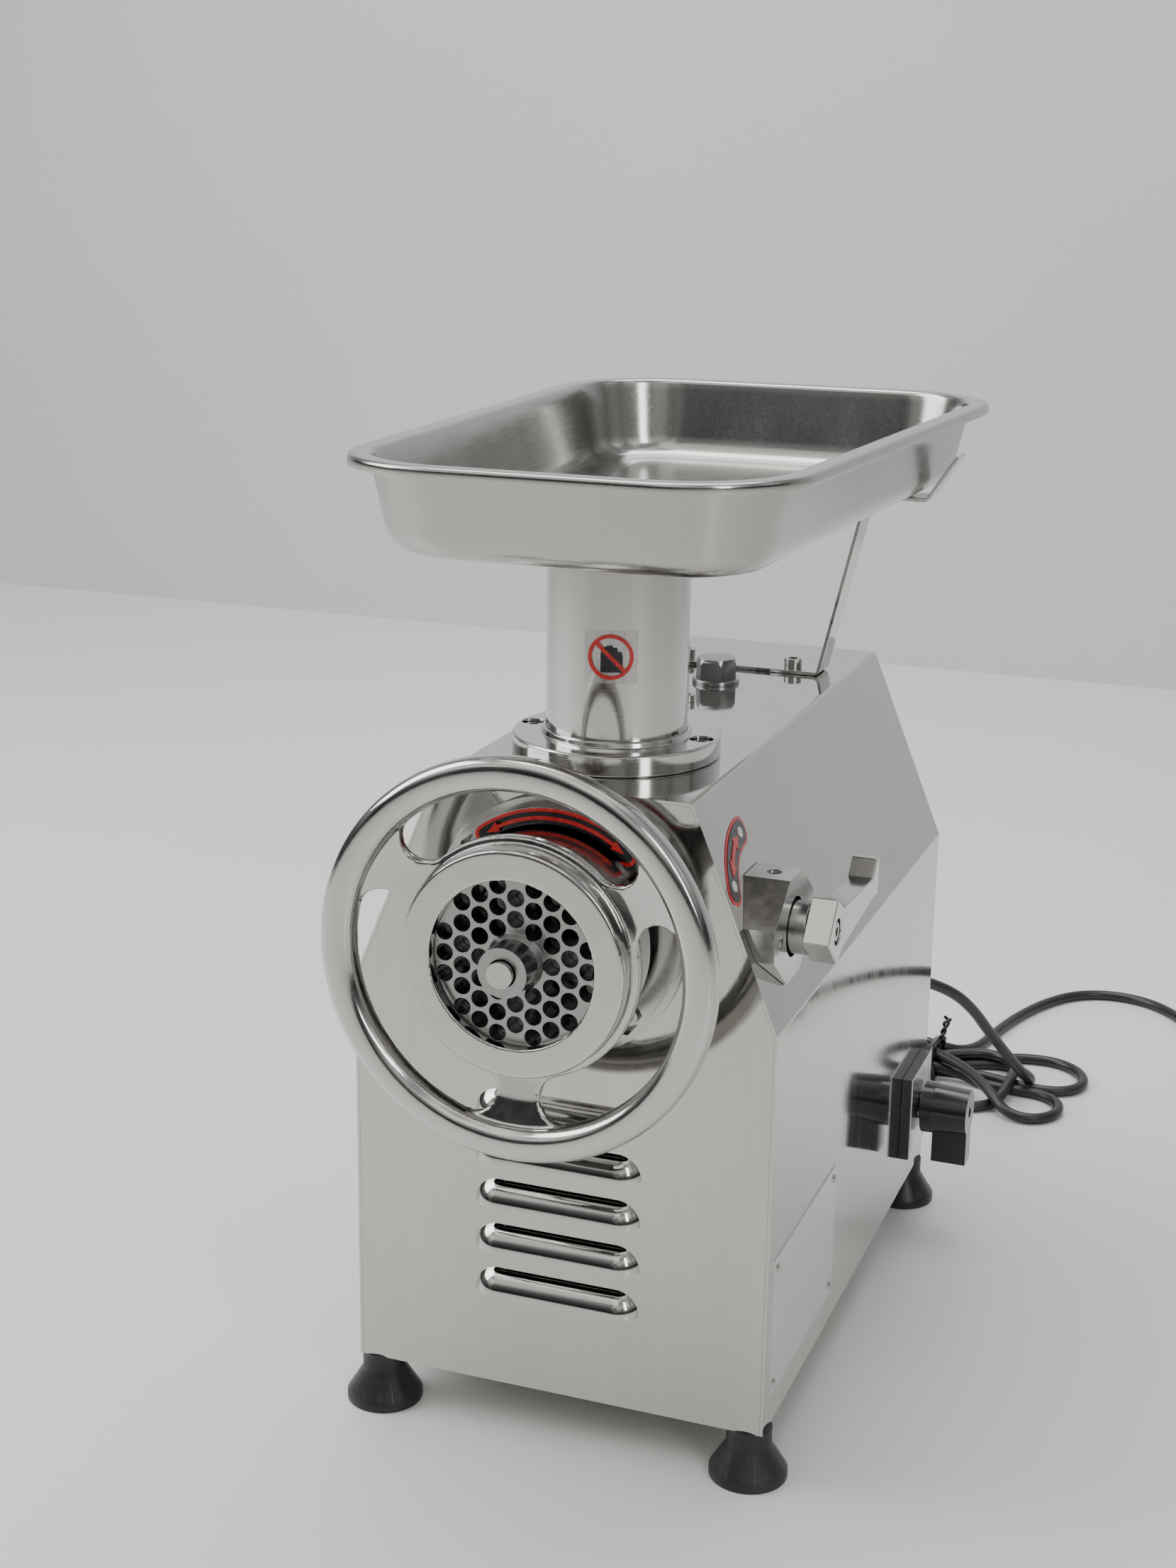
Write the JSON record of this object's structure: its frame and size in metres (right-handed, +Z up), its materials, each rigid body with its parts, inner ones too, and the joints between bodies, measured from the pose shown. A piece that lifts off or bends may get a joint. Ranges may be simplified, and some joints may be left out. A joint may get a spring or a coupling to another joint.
{
  "type": "electric meat grinder",
  "caption": "Bench meat grinder: sheet-steel body on four feet, head with handwheel ring nut at the front, feed tube with an oblong tray on top, side switch and lever, mains cord.",
  "frame": {"origin": "on the resting surface, under the middle of the body", "axes": "+X to the machine's left-hand side as it faces the user (the switch side), +Y to its back, +Z up"},
  "size_m": [0.4086, 0.7911, 0.483],
  "materials": {
    "brushed_stainless": "fine vertical brushing",
    "polished_stainless": "polished",
    "cast_polished": "polished casting",
    "black_plastic": "smooth moulding",
    "black_rubber": "satin",
    "zinc_steel": "plated",
    "machine_steel": "ground",
    "cast_aluminium": "as cast",
    "black_paint": "satin",
    "copper_laminate": "laminated core and windings",
    "brass_pins": "polished",
    "silver_plate": "satin",
    "cord_jacket": "smooth jacket"
  },
  "bodies": {
    "root": {"barrel": "cast_polished", "body_shell": "brushed_stainless", "bottom_plate": "brushed_stainless", "bracket_screws": "zinc_steel", "capacitor": "black_plastic", "clamp_block": "cast_polished", "clamp_set_screws": "zinc_steel", "cluster_bearings": "machine_steel", "collar_screws": "zinc_steel", "cord_gland": "black_plastic", "cord_hank": "cord_jacket", "cord_tail": "cord_jacket", "cover_screws": "zinc_steel", "cutting_plate": "cast_polished", "deck_screw": "zinc_steel", "feed_tube": "polished_stainless", "filler_plug": "zinc_steel", "flange_screws": "zinc_steel", "foot_front_left": "black_rubber", "foot_front_right": "black_rubber", "foot_rear_left": "black_rubber", "foot_rear_right": "black_rubber", "foot_screws": "zinc_steel", "front_panel": "brushed_stainless", "gear_case": "cast_aluminium", "gear_cover": "cast_aluminium", "head_housing": "cast_polished", "motor_bearings": "machine_steel", "motor_housing": "cast_aluminium", "motor_mount": "black_paint", "motor_stator": "copper_laminate", "nameplate": "silver_plate", "nameplate_rivets": "silver_plate", "neck_flange": "cast_polished", "oil_seal": "black_rubber", "output_bearings": "machine_steel", "plug_body": "black_plastic", "plug_pins": "brass_pins", "plug_washer": "zinc_steel", "power_cord": "cord_jacket", "rear_panel": "brushed_stainless", "switch_base": "black_plastic", "switch_body": "black_plastic", "switch_faceplate": "silver_plate", "tray_bracket": "brushed_stainless"},
    "output": {"output_shaft": "machine_steel", "output_gear": "machine_steel", "auger": "cast_polished", "knife": "machine_steel"},
    "intermediate": {"cluster_gear": "machine_steel"},
    "rotor": {"motor_rotor": "machine_steel", "motor_pinion": "machine_steel", "cooling_fan": "black_plastic"},
    "ring": {"ring_nut": "cast_polished"},
    "clamp": {"clamp_lever": "cast_polished", "clamp_shaft": "machine_steel", "lever_screw": "zinc_steel"},
    "switch": {"switch_knob": "black_plastic", "knob_screw": "zinc_steel"},
    "tray": {"tray": "polished_stainless"}
  },
  "joints": [
    {"name": "output_spin", "type": "hinge", "parent": "root", "child": "output", "pos_m": [0, 0, 0.2684], "axis": [0, 1, 0], "continuous": true},
    {"name": "intermediate_spin", "type": "hinge", "parent": "root", "child": "intermediate", "pos_m": [0, 0.05, 0.1931], "axis": [0, 1, 0], "continuous": true},
    {"name": "motor_spin", "type": "hinge", "parent": "root", "child": "rotor", "pos_m": [0, 0, 0.1298], "axis": [0, 1, 0], "continuous": true},
    {"name": "ring_turn", "type": "hinge", "parent": "root", "child": "ring", "pos_m": [0, -0.22, 0.2684], "axis": [0, 1, 0], "range_deg": [0, 1080]},
    {"name": "clamp_turn", "type": "hinge", "parent": "root", "child": "clamp", "pos_m": [0.11, -0.131, 0.2684], "axis": [1, 0, 0], "range_deg": [0, 90]},
    {"name": "switch_turn", "type": "hinge", "parent": "root", "child": "switch", "pos_m": [0.12, 0.1285, 0.0755], "axis": [1, 0, 0], "range_deg": [-45, 45]},
    {"name": "tray_lift", "type": "slide", "parent": "root", "child": "tray", "axis": [0, 0, 1], "range_m": [0, 0.06]}
  ],
  "couplings": [
    {"joint": "intermediate_spin", "follows": "output_spin", "ratio": -2.75},
    {"joint": "motor_spin", "follows": "output_spin", "ratio": 8.25}
  ]
}
